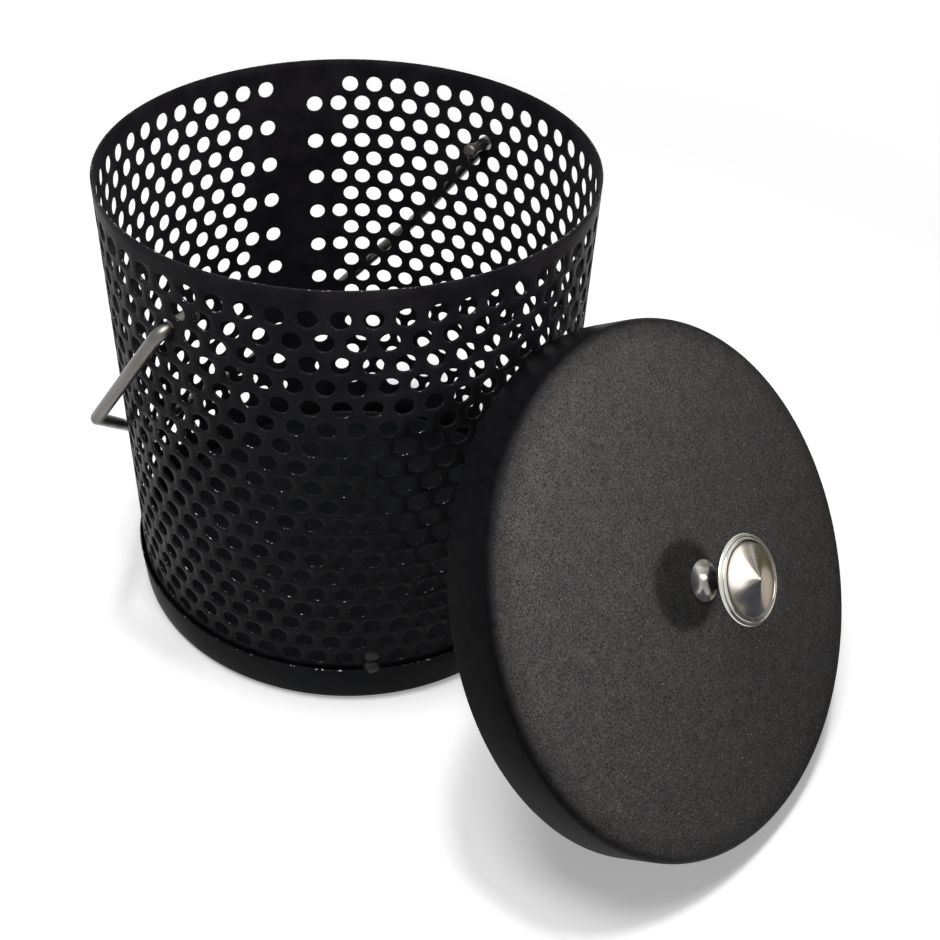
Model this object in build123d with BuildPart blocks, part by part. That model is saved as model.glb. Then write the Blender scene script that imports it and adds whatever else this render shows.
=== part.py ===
from build123d import *
import os
from math import acos, cos, degrees, radians, sin, sqrt, tan

# Open-fire popcorn popper: a perforated steel bucket standing in a pressed base pan, its lid
# leaning on it, and a round wire bail hooked through two of its holes.
# Millimetres, +Z up.  The origin is the centre of the base, on the surface it stands on.

os.makedirs("parts", exist_ok=True)

# ---- Bucket wall: one perforated sheet rolled into a drum, with its seam at the back ----
RIM_Z = 175.7               # height of the bucket's rim above the surface it stands on
WALL_OUTER_R = 84.6
WALL_SHEET = 0.8
HOLE_D = 6.35               # quarter-inch holes ...
HOLE_PITCH = 9.525          # ... at three-eighths of an inch along the row
ROW_PITCH = 8.0
ROWS = 19
PUNCH_REACH = 4             # length of a hole's cutter, in thicknesses of its sheet
COLUMNS = 53                # holes in each row; the rest of the way round is the plain seam
ODD_ROW_SHIFT = -1.5        # every other row starts this many columns earlier
FIRST_COLUMN_DEG = -3.04    # first hole of an even row, from the back (+Y) towards +X
RIM_MARGIN = 9.9            # from the rim down to the centres of the top row

# ---- Pressed pans: the base and the lid are cut and drawn to one outline ----
PAN_SHEET = 0.8
PAN_DEPTH = 16.8
PAN_CORNER_R = 3.0          # outside radius between the floor and the side
PAN_FLARE = 0.8             # how much the side opens out over its depth
WALL_CLEARANCE = 0.15       # radial, between the wall and the pan's side at its floor
SEAT_CLEARANCE = 0.05       # between the wall's lower edge and the pan's inside corner
LID_CROWN = 5.0             # rise of the lid's face at its middle
BASE_CROWN = 0.0            # the base is flat, so that it stands steadily

# ---- Plug welds that hold the wall in the base pan ----
WELD_COLUMNS = (9, 27, 45)  # holes of the lowest row that are filled with weld
WELD_BEAD_R = 3.6           # half the bead's length along the pan's rim
WELD_BEAD_UP = 2.6          # how far the bead reaches up the wall from the rim ...
WELD_BEAD_T = 2.1           # ... and how far it stands off the wall
WELD_FACE_T = 0.6           # how far the plug stands out of its hole
WELD_INSIDE_T = 0.5         # how far it stands out inside the bucket

# ---- Lid as it rests: on the edge of its side, leaning on the wall, its face outwards ----
LID_LEAN_DEG = 36.5         # tilt of the lid's face back from upright
LID_FACING_DEG = 49.2       # where the face looks, from the front (-Y) towards +X
LEAN_CLEARANCE = 0.3        # between the lid's edge and the wall

# ---- Knob, screw and washer ----
KNOB_FOOT_D = 13.3
KNOB_STEM_D = 5.8
KNOB_HEAD_D = 28.3
KNOB_HEIGHT = 22.2          # from the lid's face to the tip of the cone
KNOB_EDGE_BELOW_TIP = 4.2   # from the tip down to the top of the rim bead
KNOB_EDGE_T = 1.5           # thickness of the head's edge
KNOB_FOOT_T = 0.9           # straight edge of the foot
KNOB_SKIRT_T = 4.1          # height of the foot's sloping skirt above that edge
KNOB_SKIRT_HOLLOW = 0.3     # how far the skirt is hollowed from a straight cone ...
KNOB_SKIRT_HOLLOW_AT = 0.45  # ... and at what share of its height
KNOB_FLARE_T = 4.4          # length over which the stem opens into the head
KNOB_BEAD_W = 1.15          # width of each bead round the head
KNOB_BEAD_T = 0.5           # how far each bead stands above the groove beside it
KNOB_CONE_SAG = 0.9         # how far the cone's flank is hollowed
KNOB_TAPPED_DEPTH = 12.0
KNOB_FLARE_MID_OUT = 0.34   # the flare passes this share of its width ...
KNOB_FLARE_MID_DOWN = 0.3   # ... at this share of its length below the head
SCREW_D = 4.0
SCREW_FIT = 0.06            # radial, between the screw and the knob's tapped hole
SCREW_HOLE_FIT = 0.3        # radial, between the screw and the hole in the lid
SCREW_ENGAGEMENT = 9.0      # length of screw inside the knob
SCREW_HEAD_D = 8.0
SCREW_HEAD_T = 2.6
SCREW_HEAD_ROUND = 1.1      # rounding of the head's outer edge
SLOT_W = 1.1
SLOT_DEPTH = 1.2
WASHER_D = 11.0
WASHER_T = 1.0
WASHER_FIT = 0.01           # between the flat washer's edge and the hollow inside of the lid

# ---- Bail: one bent rod, hinged in two holes of the third row ----
BAIL_ROD_D = 4.5
PIVOT_ROW = 2
PIVOT_COLUMNS = (6, 34)     # right-hand and left-hand pivot hole
BAIL_BEND_R = 4.0           # centre-line radius of every bend
BAIL_STANDOFF = 4.2         # from the middle of the wall out to the centre line of a leg
BAIL_END_LENGTH = 11.0      # from the middle of the wall in to the rod's end
BAIL_LEG = 64.0             # from the pivot axis to the first corner
BAIL_TAPER_DEG = 35.0       # how far the sloping part leans inwards from the leg
BAIL_REACH = 146.0          # from the pivot axis to the grip
BAIL_WALL_GAP = 0.3         # between the hanging bail and the wall
HEADED_END_D = 5.4          # the rod's ends are upset so that they can't pull out
HEADED_END_T = 1.8
HEADED_END_EDGE = 0.5

# ---- Worked out from the sizes above ----
hole_r = HOLE_D / 2
wall_middle_r = WALL_OUTER_R - WALL_SHEET / 2
column_deg = degrees(HOLE_PITCH / wall_middle_r)
top_row_z = RIM_Z - RIM_MARGIN
pan_floor_r = WALL_OUTER_R + WALL_CLEARANCE + PAN_SHEET
pan_rim_r = pan_floor_r + PAN_FLARE
inside_corner_r = PAN_CORNER_R - PAN_SHEET
inside_corner_centre_r = pan_floor_r - PAN_CORNER_R
corner_reach = min(WALL_OUTER_R - inside_corner_centre_r, inside_corner_r)
wall_foot_z = PAN_CORNER_R - sqrt(inside_corner_r**2 - corner_reach**2) + SEAT_CLEARANCE
knob_edge_top = KNOB_HEIGHT - KNOB_EDGE_BELOW_TIP
knob_edge_bottom = knob_edge_top - KNOB_EDGE_T


def section_plane(seat):
    """The plane for half a turned profile: x runs outwards and y along the seat's normal."""
    return Plane(origin=seat.origin, x_dir=seat.x_dir, z_dir=-seat.y_dir)


def turned_about(seat):
    """The axis that a profile drawn on section_plane(seat) is revolved about."""
    return Axis(seat.origin, seat.z_dir)


def hole_plane(row, column):
    """Plane in the middle of the sheet at one place of the hole pattern.

    It faces outwards, and its y axis points up.
    """
    turn = radians(FIRST_COLUMN_DEG + column * column_deg)
    outwards = Vector(sin(turn), cos(turn), 0)
    along = Vector(-cos(turn), sin(turn), 0)
    height = Vector(0, 0, top_row_z - row * ROW_PITCH)
    return Plane(origin=outwards * wall_middle_r + height, x_dir=along, z_dir=outwards)


def pan_outline(inset, crown, mode=Mode.ADD):
    """Half section of a pan filled to its rim, moved in from its outside by inset."""
    middle = (0, inset - crown)
    floor = (pan_floor_r - inset, inset)
    rim = (pan_rim_r - inset, PAN_DEPTH)
    with BuildLine() as outline:
        if crown > 0:
            bulge_r = (crown**2 + floor[0] ** 2) / (2 * crown)
            RadiusArc(middle, floor, -bulge_r)
        else:
            Line(middle, floor)
        Polyline(floor, rim, (0, PAN_DEPTH), middle)
        corner = outline.vertices().sort_by_distance((floor[0], floor[1], 0))[0]
        fillet(corner, PAN_CORNER_R - inset)
    make_face(outline.edges(), mode=mode)


def pressed_pan(seat, crown, mode=Mode.ADD):
    """A shallow pan with its floor's outside on the seat plane, opening along its normal."""
    with BuildSketch(section_plane(seat)) as section:
        pan_outline(0, crown)
        pan_outline(PAN_SHEET, crown, mode=Mode.SUBTRACT)
    revolve(section.sketch, axis=turned_about(seat), mode=mode)


def hanging_angle():
    """Degrees below level at which the bail's sloping parts come to rest beside the wall.

    Seen from above, a sloping part is a straight line whose distance from the drum's axis
    grows as the bail is raised.  The angle is the one that makes it the sum of the wall's
    radius, half the rod and the gap, which is a quadratic in the angle's cosine.
    """
    reach = WALL_OUTER_R + BAIL_ROD_D / 2 + BAIL_WALL_GAP
    taper_cos = cos(radians(BAIL_TAPER_DEG))
    taper_sin = sin(radians(BAIL_TAPER_DEG))
    sideways = leg_offset * taper_cos + BAIL_LEG * taper_sin
    shift = pivot_middle.dot(level_outwards) * taper_sin
    square = sideways**2 - (reach * taper_cos) ** 2
    constant = shift**2 - (reach * taper_sin) ** 2
    hang_cos = (sqrt((sideways * shift) ** 2 - square * constant) - sideways * shift) / square
    return degrees(acos(hang_cos))


# ---- Places that the pieces share ----
base_seat = Plane.XY
facing = radians(LID_FACING_DEG)
lean = radians(LID_LEAN_DEG)
facing_level = Vector(sin(facing), -cos(facing), 0)
across_level = Vector(cos(facing), sin(facing), 0)
face_normal = facing_level * cos(lean) + Vector(0, 0, sin(lean))
lid_out = PAN_DEPTH * cos(lean) + pan_rim_r * sin(lean) + WALL_OUTER_R + LEAN_CLEARANCE
lid_up = PAN_DEPTH * sin(lean) + pan_rim_r * cos(lean)
lid_seat = Plane(
    origin=facing_level * lid_out + Vector(0, 0, lid_up), x_dir=across_level, z_dir=-face_normal
)
knob_seat = Plane(
    origin=lid_seat.origin + face_normal * LID_CROWN, x_dir=across_level, z_dir=face_normal
)

right_pivot = hole_plane(PIVOT_ROW, PIVOT_COLUMNS[0]).origin
left_pivot = hole_plane(PIVOT_ROW, PIVOT_COLUMNS[1]).origin
pivot_middle = (right_pivot + left_pivot) * 0.5
pivot_axis = (left_pivot - right_pivot).normalized()
level_outwards = pivot_axis.cross(Vector(0, 0, 1))
half_span = (left_pivot - right_pivot).length / 2
leg_offset = half_span + BAIL_STANDOFF
hang = radians(hanging_angle())
leg_direction = level_outwards * cos(hang) - Vector(0, 0, 1) * sin(hang)
bail_plane = Plane(
    origin=pivot_middle, x_dir=pivot_axis, z_dir=pivot_axis.cross(leg_direction)
)
grip_half = leg_offset - (BAIL_REACH - BAIL_LEG) * tan(radians(BAIL_TAPER_DEG))


# ---- Bucket wall ----
hole_places = [
    Location(hole_plane(row, column + ODD_ROW_SHIFT * (row % 2)))
    for row in range(ROWS)
    for column in range(COLUMNS)
]
with BuildPart() as basket_wall:
    with BuildSketch(Plane.XY.offset(wall_foot_z)):
        Circle(WALL_OUTER_R)
        Circle(WALL_OUTER_R - WALL_SHEET, mode=Mode.SUBTRACT)
    extrude(amount=RIM_Z - wall_foot_z)
    with Locations(*hole_places):
        Cylinder(hole_r, PUNCH_REACH * WALL_SHEET, mode=Mode.SUBTRACT)

# ---- Base pan ----
with BuildPart() as base_pan:
    pressed_pan(base_seat, BASE_CROWN)

# ---- Plug welds: each fills one hole of the lowest row and laps onto the pan's rim ----
with BuildPart() as wall_welds:
    for column in WELD_COLUMNS:
        place = hole_plane(ROWS - 1, column)
        with BuildSketch(place.offset(-WALL_SHEET / 2 - WELD_INSIDE_T)):
            Circle(hole_r)
        extrude(amount=WALL_SHEET + WELD_INSIDE_T + WELD_FACE_T)
        bead_drop = place.origin.Z - PAN_DEPTH
        with BuildSketch(place.offset(WALL_SHEET / 2)):
            with Locations((0, -bead_drop)):
                Ellipse(WELD_BEAD_R, WELD_BEAD_UP)
        extrude(amount=WELD_BEAD_T)
    pressed_pan(base_seat, BASE_CROWN, mode=Mode.SUBTRACT)

# ---- Lid pan ----
with BuildPart() as lid_pan:
    pressed_pan(lid_seat, LID_CROWN)
    with Locations(Location(knob_seat)):
        Cylinder(SCREW_D / 2 + SCREW_HOLE_FIT, PUNCH_REACH * PAN_SHEET, mode=Mode.SUBTRACT)

# ---- Knob ----
with BuildPart() as lid_knob:
    with BuildSketch(section_plane(knob_seat)):
        with BuildLine():
            foot_r = KNOB_FOOT_D / 2
            stem_r = KNOB_STEM_D / 2
            head_r = KNOB_HEAD_D / 2
            bore_r = SCREW_D / 2 + SCREW_FIT
            skirt_top = KNOB_FOOT_T + KNOB_SKIRT_T
            flare_start = knob_edge_bottom - KNOB_FLARE_T
            groove = knob_edge_top - KNOB_BEAD_T
            inner_bead_r = head_r - KNOB_BEAD_W
            cone_r = inner_bead_r - KNOB_BEAD_W
            Polyline((0, KNOB_TAPPED_DEPTH), (bore_r, KNOB_TAPPED_DEPTH), (bore_r, 0), (foot_r, 0))
            Line((foot_r, 0), (foot_r, KNOB_FOOT_T))
            skirt_mid = (
                (foot_r + stem_r) / 2 - KNOB_SKIRT_HOLLOW,
                KNOB_FOOT_T + KNOB_SKIRT_T * KNOB_SKIRT_HOLLOW_AT,
            )
            Spline((foot_r, KNOB_FOOT_T), skirt_mid, (stem_r, skirt_top))
            Line((stem_r, skirt_top), (stem_r, flare_start))
            flare_mid = (
                stem_r + (head_r - stem_r) * KNOB_FLARE_MID_OUT,
                knob_edge_bottom - KNOB_FLARE_T * KNOB_FLARE_MID_DOWN,
            )
            Spline((stem_r, flare_start), flare_mid, (inner_bead_r, knob_edge_bottom))
            Line((inner_bead_r, knob_edge_bottom), (head_r, knob_edge_bottom + KNOB_BEAD_T))
            Line((head_r, knob_edge_bottom + KNOB_BEAD_T), (head_r, groove))
            ThreePointArc(
                (head_r, groove), (head_r - KNOB_BEAD_W / 2, knob_edge_top), (inner_bead_r, groove)
            )
            ThreePointArc(
                (inner_bead_r, groove),
                (inner_bead_r - KNOB_BEAD_W / 2, knob_edge_top),
                (cone_r, groove),
            )
            Line((cone_r, groove), (cone_r, groove - KNOB_BEAD_T))
            cone_mid = (cone_r / 2, (groove - KNOB_BEAD_T + KNOB_HEIGHT) / 2 - KNOB_CONE_SAG)
            Spline((cone_r, groove - KNOB_BEAD_T), cone_mid, (0, KNOB_HEIGHT))
            Line((0, KNOB_HEIGHT), (0, KNOB_TAPPED_DEPTH))
        make_face()
    revolve(axis=turned_about(knob_seat))

# ---- Washer, on the inside of the lid ----
inside_crown_r = (LID_CROWN**2 + (pan_floor_r - PAN_SHEET) ** 2) / (2 * LID_CROWN)
washer_gap = inside_crown_r - sqrt(inside_crown_r**2 - (WASHER_D / 2) ** 2) + WASHER_FIT
inside_seat = knob_seat.offset(-PAN_SHEET - washer_gap)
with BuildPart() as knob_washer:
    with BuildSketch(inside_seat):
        Circle(WASHER_D / 2)
        Circle(SCREW_D / 2 + SCREW_HOLE_FIT, mode=Mode.SUBTRACT)
    extrude(amount=-WASHER_T)

# ---- Screw, up through the washer and the lid into the knob ----
screw_seat = inside_seat.offset(-WASHER_T)
screw_length = WASHER_T + washer_gap + PAN_SHEET + SCREW_ENGAGEMENT
with BuildPart() as knob_screw:
    with BuildSketch(screw_seat):
        Circle(SCREW_D / 2)
    extrude(amount=screw_length)
    with BuildSketch(screw_seat):
        Circle(SCREW_HEAD_D / 2)
    extrude(amount=-SCREW_HEAD_T)
    head_rim = knob_screw.edges().filter_by(GeomType.CIRCLE).group_by(SortBy.RADIUS)[-1]
    lower_rim = head_rim.sort_by(lambda edge: (edge.center() - screw_seat.origin).dot(face_normal))[0]
    fillet(lower_rim, SCREW_HEAD_ROUND)
    with BuildSketch(screw_seat.offset(-SCREW_HEAD_T)):
        Rectangle(SCREW_HEAD_D, SLOT_W)
    extrude(amount=SLOT_DEPTH, mode=Mode.SUBTRACT)

# ---- Bail ----
end_offset = half_span - BAIL_END_LENGTH
with BuildPart() as bail_handle:
    with BuildLine(bail_plane) as rod_line:
        FilletPolyline(
            (-end_offset, 0),
            (-leg_offset, 0),
            (-leg_offset, BAIL_LEG),
            (-grip_half, BAIL_REACH),
            (grip_half, BAIL_REACH),
            (leg_offset, BAIL_LEG),
            (leg_offset, 0),
            (end_offset, 0),
            radius=BAIL_BEND_R,
        )
    with BuildSketch(Plane(origin=rod_line.wire() @ 0, z_dir=rod_line.wire() % 0)):
        Circle(BAIL_ROD_D / 2)
    sweep(path=rod_line.wire())
    for side in (-1, 1):
        rod_end = bail_plane.from_local_coords(Vector(side * end_offset, 0, 0))
        with BuildSketch(Plane(origin=rod_end, z_dir=pivot_axis * -side)):
            Circle(HEADED_END_D / 2)
        extrude(amount=-HEADED_END_T)
        end_face = bail_handle.faces().filter_by(GeomType.PLANE).sort_by_distance(rod_end)[0]
        chamfer(end_face.edges(), HEADED_END_EDGE)

# ---- Labels and files ----
pieces = {
    "basket_wall": basket_wall,
    "base_pan": base_pan,
    "wall_welds": wall_welds,
    "lid_pan": lid_pan,
    "lid_knob": lid_knob,
    "knob_washer": knob_washer,
    "knob_screw": knob_screw,
    "bail_handle": bail_handle,
}
for name, piece in pieces.items():
    piece.part.label = name
    # the wall's thousand holes would double its file with their curves in surface parameters
    export_step(piece.part, f"parts/{name}.step", write_pcurves=piece is not basket_wall)
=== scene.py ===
# %% [markdown]
# # A popcorn popper for the open fire
# The object is a bucket of perforated sheet steel that stands in a pressed pan. Its lid, the twin
# of that pan, leans on the bucket, and a bent rod hangs behind it as a bail.
# The script begins with the measured solids, because each surface that is made here has to lie
# where they lie. They could be retyped as numbers, but loading them keeps one source of truth.

import bpy
import numpy as np
from mathutils import Matrix, Vector


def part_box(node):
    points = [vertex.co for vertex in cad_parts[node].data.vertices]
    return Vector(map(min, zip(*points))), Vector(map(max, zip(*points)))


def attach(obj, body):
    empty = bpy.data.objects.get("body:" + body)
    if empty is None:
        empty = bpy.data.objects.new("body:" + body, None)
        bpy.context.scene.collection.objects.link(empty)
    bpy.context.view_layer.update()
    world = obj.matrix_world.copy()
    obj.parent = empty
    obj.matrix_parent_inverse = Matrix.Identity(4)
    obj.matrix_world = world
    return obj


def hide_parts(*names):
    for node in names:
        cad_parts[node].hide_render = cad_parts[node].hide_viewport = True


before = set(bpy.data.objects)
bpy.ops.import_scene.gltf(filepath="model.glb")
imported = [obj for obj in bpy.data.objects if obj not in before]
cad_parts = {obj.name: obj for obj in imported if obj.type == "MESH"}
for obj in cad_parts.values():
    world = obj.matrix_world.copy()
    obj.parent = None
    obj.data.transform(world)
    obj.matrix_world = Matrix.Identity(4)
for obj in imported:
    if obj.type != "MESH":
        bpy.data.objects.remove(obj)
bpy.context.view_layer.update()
print("solids:", ", ".join(sorted(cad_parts)))

# %% [markdown]
# ## From arrays to meshes
# Every piece below is worked out as a numpy array in millimetres and then handed to Blender.
# A mesh could also be grown with modelling operators, but an array can be computed in one go and
# gives the same result each time. A few helpers are enough: one writes a mesh, one joins the
# points that fall together, and one stretches a skin over a grid of points.

# %% Write a mesh
MM = 0.001                      # one millimetre in Blender's metres
FULL_TURN = 2 * np.pi


def signed_volume(points, corners):
    """Sum over triangles of a . (b x c) / 6: positive when the faces of a closed skin look out."""
    a, b, c = (points[corners[:, k]] for k in range(3))
    return np.einsum("ij,ij->i", a, np.cross(b, c)).sum() / 6


def mesh_piece(name, points, quads, triangles, sharp_deg, marks):
    """A closed mesh from points in millimetres, its faces turned outwards, smooth but for edges
    that bend by more than sharp_deg. Marks are numbers or vectors at the points, for finishes."""
    halves = [quads[:, [0, 1, 2]], quads[:, [0, 2, 3]], triangles]
    if signed_volume(points, np.concatenate(halves)) < 0:
        quads, triangles = quads[:, ::-1], triangles[:, ::-1]
    mesh = bpy.data.meshes.new(name)
    mesh.vertices.add(len(points))
    mesh.vertices.foreach_set("co", (points * MM).astype(np.float32).ravel())
    sizes = np.concatenate([np.full(len(quads), 4), np.full(len(triangles), 3)])
    mesh.loops.add(int(sizes.sum()))
    mesh.loops.foreach_set("vertex_index", np.concatenate([quads.ravel(), triangles.ravel()]))
    mesh.polygons.add(len(sizes))
    mesh.polygons.foreach_set("loop_start", np.cumsum(sizes) - sizes)
    mesh.update(calc_edges=True)
    mesh.shade_smooth()
    mesh.set_sharp_from_angle(angle=np.radians(sharp_deg))
    for mark, values in marks.items():
        kind, field = ("FLOAT_VECTOR", "vector") if values.ndim == 2 else ("FLOAT", "value")
        layer = mesh.attributes.new(mark, kind, "POINT")
        layer.data.foreach_set(field, values.astype(np.float32).ravel())
    piece = bpy.data.objects.new(name, mesh)
    bpy.context.scene.collection.objects.link(piece)
    print(f"{name}: {len(points)} points, {2 * len(quads) + len(triangles)} triangles")
    return piece


def joined(points, quads):
    """Points that fall together become one. A quad that lost a side becomes a triangle, and one
    that lost two is dropped. The numbers of the points that stay come first."""
    _, first, place = np.unique(np.round(points, 4), axis=0, return_index=True, return_inverse=True)
    quads = place.reshape(-1)[quads]
    lost = quads == np.roll(quads, -1, axis=1)
    triangles = quads[lost.sum(axis=1) == 1]
    triangles = triangles[~lost[lost.sum(axis=1) == 1]].reshape(-1, 3)
    return first, quads[~lost.any(axis=1)], triangles


def grid_quads(rows, columns, wrap_rows, wrap_columns):
    """Each quad of a grid joins a point, its right neighbour, the one above that and its own."""
    index = np.arange(rows * columns).reshape(rows, columns)
    if wrap_rows:
        index = np.concatenate([index, index[:1]])
    if wrap_columns:
        index = np.concatenate([index, index[:, :1]], axis=1)
    corners = [index[:-1, :-1], index[:-1, 1:], index[1:, 1:], index[1:, :-1]]
    return np.stack(corners, axis=-1).reshape(-1, 4)


def skin(name, grid, marks, wrap_rows=False, sharp_deg=50):
    """A mesh over a grid of points, given as an array of rows, columns and x, y, z. A mark is
    given on the same rows and columns."""
    quads = grid_quads(*grid.shape[:2], wrap_rows, wrap_columns=True)
    points = grid.reshape(-1, 3)
    stay, quads, triangles = joined(points, quads)
    flat = {mark: values.reshape(len(points), -1).squeeze()[stay]
            for mark, values in marks.items()}
    return mesh_piece(name, points[stay], quads, triangles, sharp_deg, flat)


def unit(vector):
    """The vector at length one."""
    return np.asarray(vector, float) / np.linalg.norm(vector)


print("helpers ready")

# %% [markdown]
# ## Turned shapes
# Pans and knobs are round about an axis, so each is a half section that is carried round it.
# Blender's Screw modifier could do that, but a formula leaves no modifier behind and closes the
# poles exactly. A section is a list of (radius, height) points, with its arcs worked out.

# %% Sections and turning


def arc(centre, radius, start_deg, end_deg, steps):
    """Points of centre + radius (cos a, sin a), with a running evenly from start to end."""
    a = np.radians(np.linspace(start_deg, end_deg, steps + 1))
    return np.stack([centre[0] + radius * np.cos(a), centre[1] + radius * np.sin(a)], axis=1)


def bow(start, middle, end, steps):
    """Points of the parabola through three points: each is a blend with weights (1-t)(1-2t),
    4t(1-t) and t(2t-1)."""
    t = np.linspace(0, 1, steps + 1)[:, None]
    start, middle, end = (np.asarray(p, float) for p in (start, middle, end))
    return (1 - t) * (1 - 2 * t) * start + 4 * t * (1 - t) * middle + t * (2 * t - 1) * end


def turned(name, section, seat, segments, marks, closed=False, sharp_deg=50):
    """Point (r, h) at angle a goes to origin + r (across cos a + up sin a) + h normal. A mark
    has one number for each point of the section, or one for each of its places round the axis."""
    origin, across, normal = seat
    up = np.cross(normal, across)
    a = np.arange(segments) * FULL_TURN / segments
    spoke = np.cos(a)[:, None] * across + np.sin(a)[:, None] * up
    grid = origin + section[:, None, :1] * spoke + section[:, None, 1:] * normal
    rings = {mark: values if values.ndim == 2 else np.repeat(values[:, None], segments, axis=1)
             for mark, values in marks.items()}
    return skin(name, grid, rings, wrap_rows=closed, sharp_deg=sharp_deg)


print("turning ready")

# %% [markdown]
# ## Camera
# The camera stands close above the front edge of the table and looks down at 37 degrees. Its
# place was found from the round rims and the rows of holes, whose true sizes are known. The
# picture is a crop, so its centre lies off the lens axis, and a small shift says by how much.

# %% Camera
PICTURE = 940                   # pixels across the square picture
FOCAL_PX = 1199.266
AXIS_PX = (409.481, 397.980)    # where the lens axis meets the picture, from its top left corner
CAMERA_AT = (22.524, -367.316, 355.507)
LOOK_DOWN = 0.6529              # radians below level
CAMERA_ROLL = 0.0288            # radians
SENSOR = 36.0

camera = bpy.data.objects.new("camera", bpy.data.cameras.new("camera"))
bpy.context.scene.collection.objects.link(camera)
bpy.context.scene.camera = camera
right = np.array([1.0, 0.0, 0.0])
ahead = np.array([0.0, np.cos(LOOK_DOWN), -np.sin(LOOK_DOWN)])
above = np.cross(right, ahead)
rolled_right = np.cos(CAMERA_ROLL) * right + np.sin(CAMERA_ROLL) * above
rolled_above = np.cos(CAMERA_ROLL) * above - np.sin(CAMERA_ROLL) * right
axes = Matrix(np.stack([rolled_right, rolled_above, -ahead], axis=1).tolist()).to_4x4()
camera.matrix_world = Matrix.Translation(Vector(CAMERA_AT) * MM) @ axes
camera.data.sensor_width = SENSOR
camera.data.lens = FOCAL_PX / PICTURE * SENSOR
camera.data.shift_x = 0.5 - AXIS_PX[0] / PICTURE
camera.data.shift_y = AXIS_PX[1] / PICTURE - 0.5
camera.data.clip_start = 0.01
print(f"lens {camera.data.lens:.2f} mm")

# %% [markdown]
# ## Node helpers
# Every finish below is a small tree of nodes that reads Object coordinates or marks on the mesh.
# Painted images could be wrapped on instead, but nodes stay sharp at any distance and leave no
# files behind. The helpers say in one line each what would take five.

# %% Node helpers


def node(tree, kind, **settings):
    """A new node. Settings name its properties, and its sockets by name or, as in1, by place."""
    made = tree.nodes.new("ShaderNode" + kind)
    for key, value in settings.items():
        if hasattr(made, key):
            setattr(made, key, value)
        else:
            socket = made.inputs[int(key[2:]) if key[2:].isdigit() else key.replace("_", " ")]
            if isinstance(value, bpy.types.NodeSocket):
                tree.links.new(value, socket)
            else:
                socket.default_value = value
    return made


def noise(tree, size_mm, vector, detail=2.0, seed=0.0):
    """Soft random spots of about size_mm, around one half."""
    made = node(tree, "TexNoise", noise_dimensions="4D", Vector=vector, W=seed,
                Scale=1 / (size_mm * MM), Detail=detail)
    return made.outputs["Fac"]


def spread(tree, value, low, high, to_low=0.0, to_high=1.0):
    """Stretches the range low to high over to_low to to_high, and stops there."""
    return node(tree, "MapRange", in0=value, in1=low, in2=high, in3=to_low, in4=to_high).outputs[0]


def times(tree, first, second):
    """The product of two numbers."""
    return node(tree, "Math", operation="MULTIPLY", in0=first, in1=second).outputs[0]


def plus(tree, first, second):
    """The sum of two numbers."""
    return node(tree, "Math", operation="ADD", in0=first, in1=second).outputs[0]


def mixed(tree, share, first, second):
    """The first colour where share is 0 and the second where it is 1."""
    colours = [c if isinstance(c, bpy.types.NodeSocket) else (*c, 1) for c in (first, second)]
    made = node(tree, "Mix", data_type="RGBA", in0=share, in6=colours[0], in7=colours[1])
    return made.outputs[2]


def relief(tree, height, depth_mm, below=None):
    """A bump of depth_mm from low to high, on top of another one if there is one below."""
    made = node(tree, "Bump", Height=height, Distance=depth_mm * MM)
    if below:
        tree.links.new(below, made.inputs["Normal"])
    return made.outputs["Normal"]


def mark_value(tree, mark, field="Fac"):
    """What a mesh carries at its points under this name."""
    return node(tree, "Attribute", attribute_name=mark).outputs[field]


def new_finish(name, specular, metallic=0.0):
    """A material, its tree and shader, and its Object coordinates."""
    made = bpy.data.materials.new(name)
    made.use_nodes = True
    shader = made.node_tree.nodes["Principled BSDF"]
    shader.inputs["Specular IOR Level"].default_value = specular
    shader.inputs["Metallic"].default_value = metallic
    return made, made.node_tree, shader, node(made.node_tree, "TexCoord").outputs["Object"]


def connect(tree, shader, colour, roughness, normal, metallic=None):
    """Links what varies over the surface to the shader."""
    sockets = {"Base Color": colour, "Roughness": roughness, "Normal": normal, "Metallic": metallic}
    for name, source in sockets.items():
        if source:
            tree.links.new(source, shader.inputs[name])


def dress(piece, material):
    """The piece's only material."""
    piece.data.materials.clear()
    piece.data.materials.append(material)
    print(f"{piece.name} wears {material.name}")


print("node helpers ready")

# %% [markdown]
# ## Light, floor and background
# The object is black on white. A bright backdrop around a black, slightly glossy coating would
# wash it out, so the white is painted: what the camera or a mirror sees of the world is white,
# while the light that it gives is much weaker. The floor glows a little for the camera, so that it
# reaches white but keeps the shadow where the object stands. Far away it turns to backdrop.

# %% World and floor
WORLD_LIGHT = 0.14              # strength of the world as a light
FLOOR_SIZE = 6.0                # metres
FLOOR_COLOUR = 0.93
FLOOR_ROUGH = 0.9
FLOOR_GLOW = 0.32               # near the object
PAPER_SWEEP = (0.45, 1.3)       # metres from the middle, over which the glow grows to 1

bpy.context.scene.view_settings.view_transform = "Standard"


def seen_directly(tree):
    """1 for what the camera, a mirror or a clear pane sees, and 0 for light on a matt surface."""
    path = node(tree, "LightPath")
    both = node(tree, "Math", operation="MAXIMUM", in0=path.outputs["Is Camera Ray"],
                in1=path.outputs["Is Glossy Ray"])
    return node(tree, "Math", operation="MAXIMUM", in0=both.outputs[0],
                in1=path.outputs["Is Transmission Ray"]).outputs[0]


world = bpy.data.worlds.new("studio")
bpy.context.scene.world = world
world.use_nodes = True
sky = world.node_tree
sky.nodes["Background"].inputs["Color"].default_value = (1, 1, 1, 1)
sky.links.new(spread(sky, seen_directly(sky), 0, 1, WORLD_LIGHT, 1.0),
              sky.nodes["Background"].inputs["Strength"])


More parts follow.
